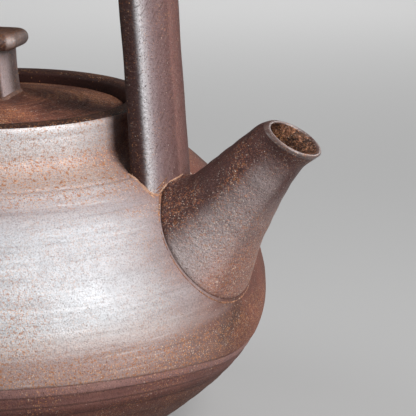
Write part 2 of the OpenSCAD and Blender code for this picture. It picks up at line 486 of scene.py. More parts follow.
MOTTLE_SCALE = 260
FINE_SCALE = 2300
LUMP_SCALE = 900
CLOUD_SCALE = 90
PATCH_SCALE = 70
FLECK_SCALE = 1500
GRAIN_LAYERS = ((2700, 0.62, 1.0), (1750, 0.42, 0.5))
GRIT = (2300, 0.42)
PITS = (2600, 0.5)
FINE_RELIEF = (0.45, 0.00018)
LUMP_RELIEF = (0.32, 0.0003)
GRIT_RELIEF = (0.5, 0.0001)
PIT_RELIEF = (0.6, 0.00014)
MARK_RELIEF = (0.45, 0.0002)


def clay(name, tones, orange, pale, pits, streaks=None, rings=None, rough=(0.55, 0.7), bare_rough=None,
         light_and_shade_zones=None, painted_sheen_mask=None, painted_light_film=None, warm_belt=None, ior=1.5, grain=1.0, flecks=0.3, metal=None,
         blotch=28, quiet=1.0, pit_depth=1.0, streak_mix=(0.35, 0.22), streak_tint=None, grains=GRAINS,
         grain_share=(1.0, 1.0)):
    """Unglazed stoneware in three tones, with the shares of orange grains, pale grit and pits. Streaks are the
    stretch, scale and turn of the tool marks, and rings the scale of marks round the axis. The zones tint the bare
    clay with painted light and shade. The mask and the film colour give a pale film of painted sheen and highlight,
    which on some parts also holds painted shade, and warm_belt is the mask of more orange grains."""
    s = Shader(name)
    low, middle, high = tones
    colour = s.ramp(s.noise(blotch, 4), [(0.3, low), (0.5, middle), (0.72, high)])
    mottle = s.noise(MOTTLE_SCALE, 4, 0.65)
    colour = s.mix(s.span(mottle, 0.52, 0.75, 0.0, 0.45), colour, high)
    fine = s.noise(FINE_SCALE, 3, 0.7)
    colour = s.mix(s.span(fine, 0.38, 0.62, 0.5, 0.0), colour, low)
    # The zones are painted light and shade on the bare clay.
    if light_and_shade_zones:
        colour = s.mix(1.0, colour, light_and_shade_zones(s), "MULTIPLY")
    surface = {"IOR": ior}
    roughness = s.span(mottle, 0.3, 0.75, *rough)
    # Without a mask, the film of painted highlight and shade covers the whole part.
    if painted_light_film and not painted_sheen_mask:
        colour = s.mix(s.span(fine, 0.3, 0.56, 0.65, 1.0), colour, painted_light_film(s))
    # The pale film of painted sheen and highlight lies where the mask is.
    if painted_sheen_mask:
        mask = painted_sheen_mask(s)
        cloud = s.noise(CLOUD_SCALE, 5, 0.6, s.stretched(0.3, 0.3, 1.0))
        sheen_cover = s.times(mask, s.span(cloud, 0.3, 0.6, 0.82, 1.0), s.span(fine, 0.3, 0.56, 0.6, 1.0))
        colour = s.mix(sheen_cover, colour, painted_light_film(s))
        if bare_rough:
            roughness = s.most(roughness, s.span(mask, 0.0, 0.7, bare_rough, 0.0))
        if metal:
            surface["Metallic"] = s.times(sheen_cover, metal)
    marks = None
    if rings:
        marks = s.rings(rings)
    elif streaks:
        *stretch, scale, turn = streaks
        marks = s.noise(scale, 4, 0.6, s.stretched(*stretch, turn))
    if marks:
        colour = s.mix(s.span(marks, 0.54, 0.72, 0.0, streak_mix[0]), colour, low)
        light = s.span(marks, 0.46, 0.28, 0.0, streak_mix[1])
        # With a mask, the pale streaks show only inside the painted sheen.
        if painted_sheen_mask:
            light = s.times(light, mask, mask)
        colour = s.mix(light, colour, streak_tint or high)
    patch = s.span(s.noise(PATCH_SCALE, 3), 0.38, 0.62, 0.15 * quiet, quiet)
    if warm_belt:
        patch = s.most(patch, warm_belt(s))
    if painted_sheen_mask:
        patch = s.times(patch, s.span(mask, 0.0, 0.6, *grain_share))
    for scale, size, part in GRAIN_LAYERS:
        grain_mask, kind = s.specks(scale, size, orange * part)
        colour = s.mix(s.times(grain_mask, patch), colour, s.ramp(kind, grains))
    fleck = s.span(s.noise(FLECK_SCALE, 2, 0.5, s.stretched(0.7, 0.7, 1.0)), 0.58, 0.66, 0.0, flecks)
    colour = s.mix(s.times(fleck, patch), colour, FLECK)
    grit = s.specks(*GRIT, pale)[0]
    colour = s.mix(grit, colour, PALE)
    pit = s.specks(*PITS, pits)[0]
    colour = s.mix(s.times(pit, pit_depth), colour, PIT)
    normal = s.raised(fine, (FINE_RELIEF[0], FINE_RELIEF[1] * grain))
    normal = s.raised(s.noise(LUMP_SCALE, 3, 0.6), (LUMP_RELIEF[0], LUMP_RELIEF[1] * grain), normal)
    normal = s.raised(grit, GRIT_RELIEF, normal)
    normal = s.raised(s.math("SUBTRACT", 1.0, pit), PIT_RELIEF, normal)
    if marks:
        normal = s.raised(marks, MARK_RELIEF, normal)
    return s.finish({"Base Color": colour, "Roughness": roughness, "Normal": normal, **surface})


def body_sheen_mask(s):
    """Where the pale film of painted sheen lies: both flanks of the pot, away from the spout and the rear, with a
    streaky edge.
    """
    uneven = s.span(s.noise(60, 4, 0.6, s.stretched(0.25, 0.25, 1.0)), 0.3, 0.7, -0.09, 0.09, "LINEAR")
    return s.span(s.math("ADD", s.facing(-63), uneven), 0.5, 0.9)


def body_sheen_colour(s):
    """Colour of the pale film of painted sheen: warm above the trimmed part, silvery on the belly, warm again about
    the crease, pale on the collar.
    """
    return s.banded(s.along(UP), [
        (40, (0.36, 0.225, 0.2)), (52.5, (0.42, 0.315, 0.295)), (57.5, (0.56, 0.51, 0.5)),
        (62, (0.595, 0.61, 0.632)), (82, (0.55, 0.555, 0.582)), (86.5, (0.455, 0.41, 0.42)),
        (89.7, (0.565, 0.515, 0.52)), (91.5, (0.535, 0.44, 0.41)), (96, (0.515, 0.435, 0.415)),
        (98.5, (0.7, 0.66, 0.655)), (102, (0.78, 0.765, 0.775))])


def body_belt(s):
    """Orange belts above and below the crease and above the trimmed part, higher in the middle of each flank,
    and streaks between them."""
    z = s.along(UP)
    upper = s.times(s.span(z, 0.084, 0.0905), s.span(z, 0.099, 0.0955, 0.6, 1.0))
    streaks = s.span(s.noise(150, 3, 0.6, s.stretched(0.12, 0.12, 1.0)), 0.53, 0.68, 0.0, 0.55)
    flank = s.times(s.span(s.facing(-75), 0.83, 0.93), s.span(z, 0.092, 0.056, 0.0, 0.8))
    return s.most(upper, streaks, s.span(z, 0.058, 0.05), flank)


def trimmed_shade_and_sheen(s):
    """Painted shade and sheen: bands between the grooves of the trimmed part, lighter and darker in turn as painted
    shade and much paler towards the top where the painted sheen above goes on, by the height they would have without
    the grooves' drop, and the rim's top darkened as painted shade."""
    return s.banded(s.attribute(TRIM), [
        (30, (1.1, 0.97, 1.03)), (33.2, (1.0, 0.85, 0.92)), (34.5, (1.25, 1.18, 1.25)),
        (36.8, (1.22, 1.14, 1.26)), (37.8, (1.0, 0.88, 1.0)), (39.4, (1.12, 1.03, 1.2)), (40.3, (1.65, 1.75, 2.1)),
        (41.8, (2.05, 2.3, 2.8)), (42.6, (1.6, 1.7, 2.1)), (43.9, (1.55, 1.7, 2.1)), (44.6, (2.5, 3.3, 4.3)),
        (46.2, (2.75, 3.7, 4.7)), (47, (2.8, 3.8, 4.9)), (90, (0.9, 0.85, 0.8)), (106, (0.34, 0.28, 0.28))], 1.0)


def lid_light_and_shade(s):
    """Painted shade and light: darker away from the knob, apart from two opposite lighter sectors, one of them
    towards the key lamp.
    """
    dark = s.banded(s.off_axis(), [
        (0, (0.95, 0.95, 0.95)), (10, (0.85, 0.83, 0.82)), (20, (0.7, 0.67, 0.66)), (26, (0.62, 0.59, 0.58)),
        (31, (0.55, 0.53, 0.52)), (36, (0.64, 0.62, 0.61)), (38, (0.75, 0.73, 0.72))])
    return s.mix(s.span(s.facing(-15), 0.7, 1.0), dark, (1.26, 1.2, 1.16))


def spout_sheen_mask(s):
    """Where the pale film lies: a soft band of painted sheen along each side of the spout, paler towards its root,
    and its warm underside.
    """
    out = s.vector("SUBTRACT", s.place, SPOUT_MOUTH)
    radial = s.vector("NORMALIZE", s.vector("SUBTRACT", out, s.vector("PROJECT", out, SPOUT_AXIS)))
    turn = math.radians(115)
    sides = [s.vector("DOT_PRODUCT", radial, [
        math.cos(turn) * u + side * math.sin(turn) * v for u, v in zip(SPOUT_UP, ACROSS)]) for side in (1, -1)]
    band = s.span(s.most(*sides), 0.74, 1.0)
    back = s.along(SPOUT_AXIS, SPOUT_MOUTH)
    strength = s.times(s.span(back, -0.002, -0.012, 0.0, 0.66), s.span(back, -0.015, -0.04, 1.0, 1.6))
    under = s.span(s.along(SPOUT_UP, SPOUT_MOUTH), -0.004, -0.011, 0.0, 0.5)
    under = s.times(under, s.span(back, -0.007, -0.02))
    return s.most(s.times(band, strength), under)


def spout_sheen_colour(s):
    """Grey on the sides as painted sheen, warm underneath."""
    return s.banded(s.along(SPOUT_UP, SPOUT_MOUTH), [
        (-25, (0.47, 0.235, 0.188)), (-15, (0.48, 0.27, 0.22)), (-11.5, (0.43, 0.295, 0.27)),
        (-8, (0.41, 0.33, 0.32)), (-3, (0.39, 0.33, 0.325)), (10, (0.38, 0.31, 0.3))])


def spout_belt(s):
    """More orange grains on the underside."""
    return s.span(s.along(SPOUT_UP, SPOUT_MOUTH), -0.008, -0.014, 0.0, 1.45)


def handle_highlight_and_shade(s):
    """Painted light and shade round the section: a painted highlight on the long edge, fading over the outer face
    after it, and painted shade on the dark side and inner face before it.
    """
    return s.banded(s.attribute(SECTION), [
        (-18, (0.08, 0.034, 0.028)), (-7.4, (0.06, 0.025, 0.021)), (-6.4, (0.034, 0.012, 0.01)),
        (-5.4, (0.03, 0.01, 0.009)), (-4.6, (0.048, 0.018, 0.016)), (-3.4, (0.058, 0.022, 0.02)),
        (-2.6, (0.085, 0.044, 0.042)), (-2.1, (0.13, 0.09, 0.09)), (-1.6, (0.31, 0.28, 0.29)),
        (-1.0, (0.68, 0.66, 0.68)), (-0.4, (0.68, 0.65, 0.67)), (0.5, (0.45, 0.4, 0.41)),
        (2.2, (0.27, 0.202, 0.208)), (5.0, (0.188, 0.114, 0.113)), (10.9, (0.138, 0.063, 0.058)),
        (12.4, (0.205, 0.09, 0.077)), (14.6, (0.17, 0.073, 0.062)), (17.6, (0.13, 0.048, 0.041)),
        (20.6, (0.086, 0.03, 0.025)), (21.9, (0.14, 0.08, 0.074)), (23.2, (0.07, 0.029, 0.024)),
        (41, (0.08, 0.034, 0.028))], 1.0)


def knob_highlight_mask(s):
    """Painted highlight on the post: two opposite sides, each palest by one corner."""
    across = s.math("ABSOLUTE", s.along((-math.sin(LID_TURN), math.cos(LID_TURN), 0)), 0)
    return s.times(s.span(across, 0.0077, 0.0067), s.span(s.facing(-44), 0.05, 0.95, 0.12, 1.0))


def cap_highlight_mask(s):
    """Painted highlight on the cap: two opposite sides, each palest at one corner."""
    sides = s.span(s.facing(14), math.cos(math.radians(51.5)), math.cos(math.radians(46.5)))
    return s.times(sides, s.span(s.facing(-28), 0.97, 1.0, 0.25, 1.0))


# Colour of the post's pale film of painted highlight, by height.
def knob_highlight_colour(s):
    return s.banded(s.along(UP), [
        (100, (0.57, 0.46, 0.46)), (118.5, (0.51, 0.395, 0.395)), (121, (0.4, 0.31, 0.29))])


def cap_highlight_and_shade(s):
    """Painted highlight on the cap's edge and painted shade on its top: paler on the edge than on the top."""
    return s.banded(s.along(UP), [
        (120, (0.2, 0.11, 0.085)), (121.5, (0.42, 0.32, 0.29)), (123, (0.59, 0.5, 0.48)),
        (124.2, (0.3, 0.19, 0.16)), (125, (0.13, 0.065, 0.05))])


TURNED = (0.03, 0.03, 1.0, 900, LEVEL)
DRAWN = (1.0, 0.25, 0.25, 2000, (0.0, -0.85, 0.35))
BRUSHED = (0.3, 1.0, 0.12, 1900, (-0.65, 0.0, 0.0))
CUT = (1.0, 1.0, 0.15, 1700, LEVEL)
KNOB_TONES = ((0.045, 0.018, 0.014), (0.08, 0.032, 0.024), (0.125, 0.052, 0.037))

# The body's pale film is painted sheen, and its white streak tint paints sheen along the throwing lines inside that
# film.
BODY_CLAY = clay(
    "body_clay", (DARK, (0.158, 0.051, 0.035), (0.235, 0.078, 0.052)), 0.6, 0.06, 0.16, TURNED,
    rough=(0.56, 0.7), bare_rough=0.9, painted_sheen_mask=body_sheen_mask, painted_light_film=body_sheen_colour, warm_belt=body_belt, grain=1.5,
    flecks=0.85, metal=0.36, quiet=0.28, pit_depth=0.3, streak_mix=(0.22, 0.36), streak_tint=(0.78, 0.78, 0.8),
    grain_share=(0.5, 1.0))
TRIMMED_CLAY = clay(
    "trimmed_clay", (DARK, (0.088, 0.033, 0.023), (0.12, 0.048, 0.032)), 0.45, 0.02, 0.16, TURNED,
    rough=(0.6, 0.75), ior=1.35, grain=2.5, quiet=0.65, light_and_shade_zones=trimmed_shade_and_sheen)
# Inside the pot the clay is darker than outside, as painted shade.
INNER_SHADED_CLAY = clay(
    "inner_shaded_clay", ((0.025, 0.011, 0.009), (0.052, 0.021, 0.018), (0.078, 0.032, 0.026)), 0.02, 0.0, 0.08, TURNED,
    ior=1.3, flecks=0.04)
SPOUT_CLAY = clay(
    "spout_clay", ((0.038, 0.016, 0.0145), (0.075, 0.03, 0.027), (0.12, 0.049, 0.043)), 0.6, 0.14, 0.14, DRAWN,
    rough=(0.42, 0.58), painted_sheen_mask=spout_sheen_mask, painted_light_film=spout_sheen_colour, warm_belt=spout_belt, ior=1.45, grain=5.0, flecks=0.6,
    grains=SPOUT_GRAINS, grain_share=(1.0, 0.7))
BORE_CLAY = clay(
    "bore_clay", ((0.006, 0.003, 0.002), (0.09, 0.034, 0.022), (1.0, 0.47, 0.27)), 0.9, 0.2, 0.5,
    grain=4.0, blotch=1100, flecks=0.8)
LIP_CLAY = clay(
    "lip_clay", ((0.06, 0.028, 0.023), (0.115, 0.066, 0.058), (0.2, 0.138, 0.126)), 0.2, 0.1, 0.06,
    rough=(0.24, 0.38), ior=1.8, blotch=160)
HANDLE_CLAY = clay(
    "handle_clay", (DARK, (0.098, 0.045, 0.038), (0.125, 0.058, 0.047)), 0.1, 0.015, 0.3, BRUSHED,
    rough=(0.46, 0.62), painted_light_film=handle_highlight_and_shade, ior=1.4, grain=4.2, streak_mix=(0.55, 0.12), streak_tint=PALE, quiet=0.6)
LID_CLAY = clay(
    "lid_clay", ((0.05, 0.018, 0.014), (0.195, 0.072, 0.05), (0.36, 0.142, 0.09)), 0.7, 0.08, 0.36, rings=900,
    rough=(0.5, 0.68), ior=1.3, grain=5.0, blotch=70, flecks=0.4, light_and_shade_zones=lid_light_and_shade, streak_mix=(0.45, 0.35),
    streak_tint=(0.3, 0.125, 0.08))
KNOB_CLAY = clay(
    "knob_clay", KNOB_TONES, 0.4, 0.1, 0.2, CUT,
    rough=(0.38, 0.54), painted_sheen_mask=knob_highlight_mask, painted_light_film=knob_highlight_colour, ior=1.6, grain=3.0)
CAP_CLAY = clay(
    "cap_clay", KNOB_TONES, 0.45, 0.1, 0.2,
    rough=(0.3, 0.44), painted_sheen_mask=cap_highlight_mask, painted_light_film=cap_highlight_and_shade, ior=1.6, grain=3.0)
PALE_SLIP = clay(
    "pale_slip", ((0.28, 0.125, 0.07), (0.45, 0.28, 0.195), (0.62, 0.5, 0.43)), 0.4, 0.1, 0.12,
    rough=(0.6, 0.75), blotch=220)
SLIP = clay(
    "slip_seam", ((0.075, 0.032, 0.023), (0.2, 0.085, 0.05), (0.4, 0.18, 0.095)), 0.45, 0.1, 0.1,
    rough=(0.6, 0.75), blotch=260)


# Thrown body

BODY_SEGMENTS = 400
OUTSIDE_STEP = 0.5
SHARP_STEP = 0.16
SHARP_FROM = 28
INSIDE_STEP = 1.5
BODY_ROUND = 0.3
BODY_AXIS_R = 0.6
LINES_SPAN = (48.5, 105)
CREASE_CUT = 0.3
CREASE_LIP = 0.08
STEP_DECAY = 1.3
STEP_FLANK = 0.45
STEP_LINES = (46.8, 43.9, 40.6, 37.4, 33.0, 28.2, 22.0, 14.5)
STEP_DEPTHS = (0.44, 0.3, 0.34, 0.28, 0.32, 0.28, 0.3, 0.26)
DROP_AZIMUTHS = (-62, -43, -29, -15, -3, 12, 40, 80, 120, 160, 200, 230)
DROPS = (0.0, 0.5, 1.5, 3.6, 6.4, 8.4, 9.0, 8.6, 7.0, 4.0, 1.2, 0.0)
OUTER = np.vstack([
    [(FOOT_R, 0)], bowed((FOOT_R, FOOT_H), BELLY, LOW_FULL), bowed(BELLY, CREASE, HIGH_FULL)[1:],
    bowed(CREASE, NECK, NECK_FULL)[1:], arc((NECK[0] - RIM_ROUND, RIM_Z - RIM_ROUND), RIM_ROUND, 0, 90)])


def body_radius(z):
    """Radius of the body's outside at a height."""
    return np.interp(z, OUTER[:, 1], OUTER[:, 0])


def body_normal(points):
    """Outward normal of the body at points on it."""
    slope = (body_radius(points[:, 2] + 0.3) - body_radius(points[:, 2] - 0.3)) / 0.6
    r = np.hypot(points[:, 0], points[:, 1])
    return unit(np.stack([points[:, 0] / r, points[:, 1] / r, -slope], 1))


def on_body(points):
    """The points moved straight up or down onto the body's outside."""
    r = np.hypot(points[:, 0], points[:, 1])
    rows = OUTER[OUTER[:, 1] > BELLY[1]]
    z = np.interp(r, rows[::-1, 0], rows[::-1, 1])
    return np.stack([points[:, 0], points[:, 1], z], 1)


def throwing_lines(z, angle, rng):
    """Soft ridges that the fingers leave, each only part of the way round."""
    total = np.zeros((len(z), len(angle)))
    at, end = LINES_SPAN
    while at < end:
        at += rng.uniform(0.7, 2.0)
        line = at + wander(angle, rng, 0.22)
        part = np.cos(angle - rng.uniform(0, TAU))
        part = np.clip(0.45 + part + 0.4 * np.cos(2 * angle + rng.uniform(0, TAU)), 0, 1)
        size = rng.uniform(0.03, 0.085) * rng.choice((-1, 1, 1))
        total += size * part * bump(z[:, None], line, rng.uniform(0.35, 1.0))
    return total


def groove_drop(angle):
    """How far the trimming grooves run down, which is most past the spout."""
    azimuth = (np.degrees(angle) - DROP_AZIMUTHS[0]) % 360 + DROP_AZIMUTHS[0]
    return through(np.minimum(azimuth, DROP_AZIMUTHS[-1]), DROP_AZIMUTHS, DROPS)


def trimmed_steps(z, angle, rng):
    """Turned bands of the lower body: each starts with a step under the one above."""
    total = np.zeros((len(z), len(angle)))
    for at, deep in zip(STEP_LINES, STEP_DEPTHS):
        line = at + wander(angle, rng, 0.16) - groove_drop(angle) * at / STEP_LINES[0]
        below = line - z[:, None]
        total -= deep * np.where(below > 0, np.exp(-np.abs(below) / STEP_DECAY), bump(below, 0, STEP_FLANK))
    return total


def body_profile():
    """Section of the body, from the axis under the foot, over the rim, to the axis on the floor inside."""
    rim_in = arc((NECK_IN_R + RIM_ROUND, RIM_Z - RIM_ROUND), RIM_ROUND, 90, 180)
    inner_belly = (BELLY[0] - WALL, BELLY[1])
    inner_shoulder = (CREASE[0] - WALL, CREASE[1] - WALL)
    ring_in = FOOT_R - FOOT_RING_W
    path = np.vstack([
        [(BODY_AXIS_R, FOOT_RECESS), (ring_in, FOOT_RECESS), (ring_in, 0)], OUTER, rim_in,
        [(NECK_IN_R, SEAT_Z), (LEDGE_R, SEAT_Z), (LEDGE_R, SEAT_Z - LEDGE_T), (NECK[0] - WALL / 2, CREASE[1])],
        bowed(inner_belly, inner_shoulder, HIGH_FULL)[::-1],
        bowed((FOOT_R - FLOOR_T, FLOOR_T), inner_belly, LOW_FULL)[::-1][1:], [(BODY_AXIS_R, FLOOR_T)]])
    fine = softened(path, BODY_ROUND)
    z = fine[:, 1]
    index = np.arange(len(fine))
    outside = (index >= nearest(fine, (FOOT_R, 0))) & (index <= nearest(fine, (NECK_IN_R, RIM_Z - RIM_ROUND)))
    sharp = (np.abs(z - CREASE[1]) < 1.0) | (z < STEP_LINES[0] + 1) & (z > SHARP_FROM)
    return thinned(fine, np.where(outside, np.where(sharp, SHARP_STEP, OUTSIDE_STEP), INSIDE_STEP))


def body_piece():
    rng = np.random.default_rng(11)
    profile = body_profile()
    r, z = profile.T
    angle = turns(BODY_SEGMENTS)
    is_out = (np.arange(len(profile)) < np.argmax(z)) & (r > FOOT_R - 1)
    fade = np.where(is_out, smooth_step(z, 1.5, 6.0), 0.0)[:, None]
    relief = throwing_lines(z, angle, rng) + trimmed_steps(z, angle, rng)
    crease = CREASE[1] + wander(angle, rng, 0.18)
    relief -= CREASE_CUT * bump(z[:, None], crease + 0.1, 0.25)
    relief += CREASE_LIP * bump(z[:, None], crease - 0.8, 0.5)
    relief *= fade * (1 - smooth_step(z, RIM_Z - 1.6, RIM_Z - 0.4))[:, None]
    relief += fade * wander(angle, rng, 0.1, 3)
    piece = grid_object("thrown_body", lathe(profile, BODY_SEGMENTS, relief))
    drilled(piece, strainer_drill())
    x, y, z = gathered(piece.data.polygons, "center").T / MM
    inside = np.hypot(x, y) < body_radius(np.minimum(z, RIM_Z - 0.2)) - 1.5
    trimmed = z < STEP_LINES[0] - groove_drop(np.arctan2(y, x))
    rim_top = (z > RIM_Z - 1.2) & (gathered(piece.data.polygons, "normal")[:, 2] > 0.6)
    finish = np.where(inside & ~rim_top, 2, np.where(trimmed | rim_top, 1, 0))
    dressed(piece, "pot", "body_clay", "body_shell", BODY_CLAY, TRIMMED_CLAY, INNER_SHADED_CLAY, finish=finish)
    x, y, z = gathered(piece.data.vertices, "co").T / MM
    level = z / (1 - groove_drop(np.arctan2(y, x)) / STEP_LINES[0])
    piece.data.attributes.new(TRIM, "FLOAT", "POINT").data.foreach_set("value", level.astype(np.float32))


def strainer_drill():
    """Bars along the spout's axis, one for each hole of the strainer, in rings round the first."""
    axis, up, side, mouth = map(np.array, (SPOUT_AXIS, SPOUT_UP, ACROSS, MOUTH))
    starts = []
    ends = []
    for ring in range(STRAIN_RINGS + 1):
        for k in range(max(6 * ring, 1)):
            turn = math.radians(60 * k / max(ring, 1))
            off = ring * STRAIN_PITCH * (math.cos(turn) * up + math.sin(turn) * side)
            starts.append(mouth + off - STRAIN_SPAN[0] * axis)
            ends.append(mouth + off - STRAIN_SPAN[1] * axis)
    return round_drill(starts, ends, STRAIN_D / 2)


# Slip

BEAD_POINTS = 12
BEAD_SINK = 0.1
SMEAR_POINTS = 10


def bead(line, size, rng):
    """Uneven roll of slip lying on the body along a closed line."""
    angle = turns(len(line))

    def uneven():
        return 1 + 0.16 * wander(angle, rng, 1.0, 9) + 0.1 * rng.normal(size=len(line))

    up = body_normal(line)
    side = np.cross(unit(np.roll(line, -1, 0) - np.roll(line, 1, 0)), up)
    width = np.clip(size * uneven(), 0.45 * size, 1.6 * size)[:, None]
    tall = np.clip(0.8 * size * uneven(), 0.35 * size, 1.4 * size)[:, None]
    rings = [line + width * math.cos(a) * side + (tall * math.sin(a) - BEAD_SINK) * up for a in turns(BEAD_POINTS)]
    return shell(np.stack(rings, 1), wrap_rows=True)


def smear(line, up, wide, tall):
    """Tapered roll of slip along an open line, lying on the surface that faces up."""
    side = np.cross(unit(np.gradient(line, axis=0)), up)
    part = np.linspace(0, 1, len(line))
    taper = np.sqrt(np.clip(np.sin(math.pi * np.clip(part, 0.03, 0.97)), 0.0, 1.0))
    uneven = (taper * (1 + 0.18 * np.sin(31 * part + 0.7) + 0.12 * np.sin(67 * part)))[:, None]
    rings = [line + uneven * (wide * math.cos(a) * side + tall * math.sin(a) * up) for a in turns(SMEAR_POINTS)]
    return shell(np.stack(rings, 1))


# Spout

SPOUT_SEGMENTS = 192
SPOUT_KEYS = (0.0, 0.05, 0.13, 0.26, 0.4, 0.55, 0.71, 0.86, 1.0, 1.14)
SPOUT_TOP = ((87.4, 107.1), (85.6, 106.4), (83.0, 104.4), (79.0, 101.1), (74.6, 97.4), (70.4, 93.8),
             (66.4, 90.5), (62.9, 88.3), (59.7, 86.6), (56.5, 84.6))
SPOUT_UNDER = ((102.0, 99.0), (99.0, 96.8), (96.6, 94.2), (93.6, 89.6), (90.7, 84.2), (87.7, 77.8),
               (84.5, 71.0), (82.0, 63.5), (79.6, 55.6), (77.0, 48.5))
SPOUT_SIDE = (8.2, 7.9, 8.2, 9.2, 10.6, 12.6, 15.2, 18.2, 21.0, 23.6)
SPOUT_WALL = (1.5, 1.9, 2.3, 2.6, 2.8, 3.0, 3.3, 3.6, 4.0, 4.0)
SPOUT_RUN = 33
ROOT_ROUND = 1.5
ROOT_SEARCH = (0.3, SPOUT_KEYS[-1], 1200)
SHOULDER = 1.6
SHOULDER_AT = math.radians(14)
LIP_RISE = 0.55
LIP_SINK = 0.2
SPOUT_BEAD = 0.34


def spout_point(turn, t, inset):
    """Point of the spout's surface: turn 0 is its top, t runs from the mouth to past the body's wall."""
    top = np.stack([through(t, SPOUT_KEYS, [p[k] for p in SPOUT_TOP]) for k in (0, 1)], -1)
    under = np.stack([through(t, SPOUT_KEYS, [p[k] for p in SPOUT_UNDER]) for k in (0, 1)], -1)
    middle = (top + under) / 2
    half = np.linalg.norm(top - under, axis=-1) / 2
    up = (top - under) / (2 * half[..., None])
    side = through(t, SPOUT_KEYS, SPOUT_SIDE)
    rise = (half - inset) * np.cos(turn)
    return np.stack([middle[..., 0] + rise * up[..., 0], (side - inset) * np.sin(turn),
                     middle[..., 1] + rise * up[..., 1]], -1)


def meets_body(turn, inset_keys):
    """The t at which each line of the spout's surface reaches the body."""
    t = np.linspace(*ROOT_SEARCH)
    inset = through(t, SPOUT_KEYS, inset_keys)
    out = np.empty(len(turn))
    for k, a in enumerate(turn):
        x, y, z = spout_point(a, t, inset).T
        out[k] = t[np.where(np.hypot(x, y) > body_radius(z))[0][-1]]
    return out


def spout_pieces():
    rng = np.random.default_rng(5)
    turn = turns(SPOUT_SEGMENTS)
    zero = np.zeros(SPOUT_SEGMENTS)
    end = meets_body(turn, np.zeros(len(SPOUT_KEYS)))
    bore_end = meets_body(turn, SPOUT_WALL)
    from_top = np.abs((turn + math.pi) % TAU - math.pi)
    shoulder = SHOULDER * bump(from_top, SHOULDER_AT, SHOULDER_AT)
    edge = 0.55 + 0.45 * smooth_step(-np.cos(turn), -0.6, 0.5)
    swirl = wander(turn, rng, 0.05, 4)
    rows = []
    for s in np.concatenate([np.linspace(0.012, 0.92, 70), np.linspace(0.926, 1.0, 26)]):
        t = s * end
        near = np.clip(ROOT_ROUND - (end - t) * SPOUT_RUN, 0, ROOT_ROUND)
        round_in = edge * (ROOT_ROUND - np.sqrt(ROOT_ROUND ** 2 - near ** 2))
        grown = shoulder * smooth_step(s, 0.74, 0.98)
        rows.append(spout_point(turn, t, round_in - grown + swirl * s + 0.05 * np.sin(46 * t + turn)))
    rows.append(spout_point(turn, end * 1.03, zero + 2.0))
    outward = unit(spout_point(turn, zero, zero) - spout_point(turn, zero + 0.03, zero))
    thick = SPOUT_WALL[0]
    lip = []
    for a in np.radians(np.linspace(170, 10, 11)):
        lift = LIP_RISE * thick * math.sin(a) - LIP_SINK
        lip.append(spout_point(turn, zero, zero + thick / 2 * (1 + math.cos(a))) + lift * outward)
    bore = []
    for s in np.linspace(0.02, 1.0, 60):
        t = s * bore_end
        bore.append(spout_point(turn, t, through(t, SPOUT_KEYS, SPOUT_WALL)))
    spout = grid_object("thrown_spout", np.stack(bore[::-1] + lip[::-1] + rows), wrap_rows=True)
    finish = np.zeros(len(spout.data.polygons))
    finish[:(len(bore) + len(lip)) * SPOUT_SEGMENTS] = 2
    finish[:(len(bore) + 1) * SPOUT_SEGMENTS] = 1
    dressed(spout, "pot", "spout_clay", "spout", SPOUT_CLAY, BORE_CLAY, LIP_CLAY, finish=finish)
    seam = new_object("spout_seam", *bead(spout_point(turn, end, -shoulder), SPOUT_BEAD, rng))
    dressed(seam, "pot", "slip_seam", "spout_lute", SLIP)


# Handle

SECTION_ROUND = 0.42
SECTION_STEP = 0.4
SECTION_MIDDLE = (-STRAP_T / 2 + 0.8, 0.0)
FOOT_FLARE = 0.35
FLARE_DECAY = 4.5
FOOT_SINK = 0.8
LEG_SEARCH = (20, 110, 3000)
HANDLE_BEAD = 0.5
SMEAR_LINE = ((48.6, 8.8), (50.6, 10.0), (52.6, 11.3), (54.8, 12.2), (57.2, 12.6), (59.4, 12.2), (61.0, 11.0))
SMEAR_SIZE = (0.62, 0.22)
RIDGE_SPAN = (-10.3, -5.6)
RIDGE_POINTS = 24
RIDGE_START = 65.2
RIDGE_RISE = 2.6
RIDGE_LIFTS = (0.0, 0.9)
RIDGE_SIZE = (0.22, 0.24)
FILLET_LINE = ((-10.0, 66.2), (-8.75, 65.3), (-6.5, 64.1), (-3.2, 63.4), (-0.3, 63.1), (3.0, 62.9))
FILLET_POINTS = 40
FILLET_SIZE = (0.4, 0.34)


def face_height(across):
    """How far the strap's outer face stands out from the arch."""
    part = np.abs(across) / STRAP_HALF
    return STRAP_RIDGE * (1 - 0.45 * part - 0.35 * part ** 4)


def strap_section():
    """Closed outline of the strap: distance out from the arch, and place across it."""
    y = np.linspace(-STRAP_HALF + STRAP_BEVEL, STRAP_HALF - STRAP_BEVEL, 200)
    face = np.stack([face_height(y), y], 1)
    drop = face[0, 0] - STRAP_BEVEL
    back = [(drop, STRAP_HALF), (-STRAP_T, STRAP_HALF), (-STRAP_T, -STRAP_HALF), (drop, -STRAP_HALF), face[0]]
    line = spaced(softened(np.vstack([face, back]), SECTION_ROUND, closed=True), SECTION_STEP)
    under = np.argmin(line[:, 0] + 0.001 * np.abs(line[:, 1]))
    return np.roll(line, -under, 0)


def on_leg(side, out, across, down, angle=LEG_LEAN):
    """Points of the strap, at an angle of its arch and from there straight down."""
    x = (ARCH_R + out) * math.cos(angle) + down * math.sin(angle)
    z = ARCH_Z + (ARCH_R + out) * math.sin(angle) - down * math.cos(angle)
    return np.stack([side * x, across, z], -1)


def leg_end(out, across):
    """Distance down the leg at which this line of the strap reaches the body."""
    d = np.linspace(*LEG_SEARCH)
    x, y, z = on_leg(1, out, np.full_like(d, across), d).T
    return d[np.argmax(np.hypot(x, y) < body_radius(z))]


def on_face(side, across, down, flare):
    """A line on the strap's outer face by its foot, and the way the face looks at each point."""
    line = on_leg(side, face_height(across) + FOOT_FLARE * flare, across, down)
    return line, np.tile((side * math.cos(LEG_LEAN), 0, math.sin(LEG_LEAN)), (len(line), 1))


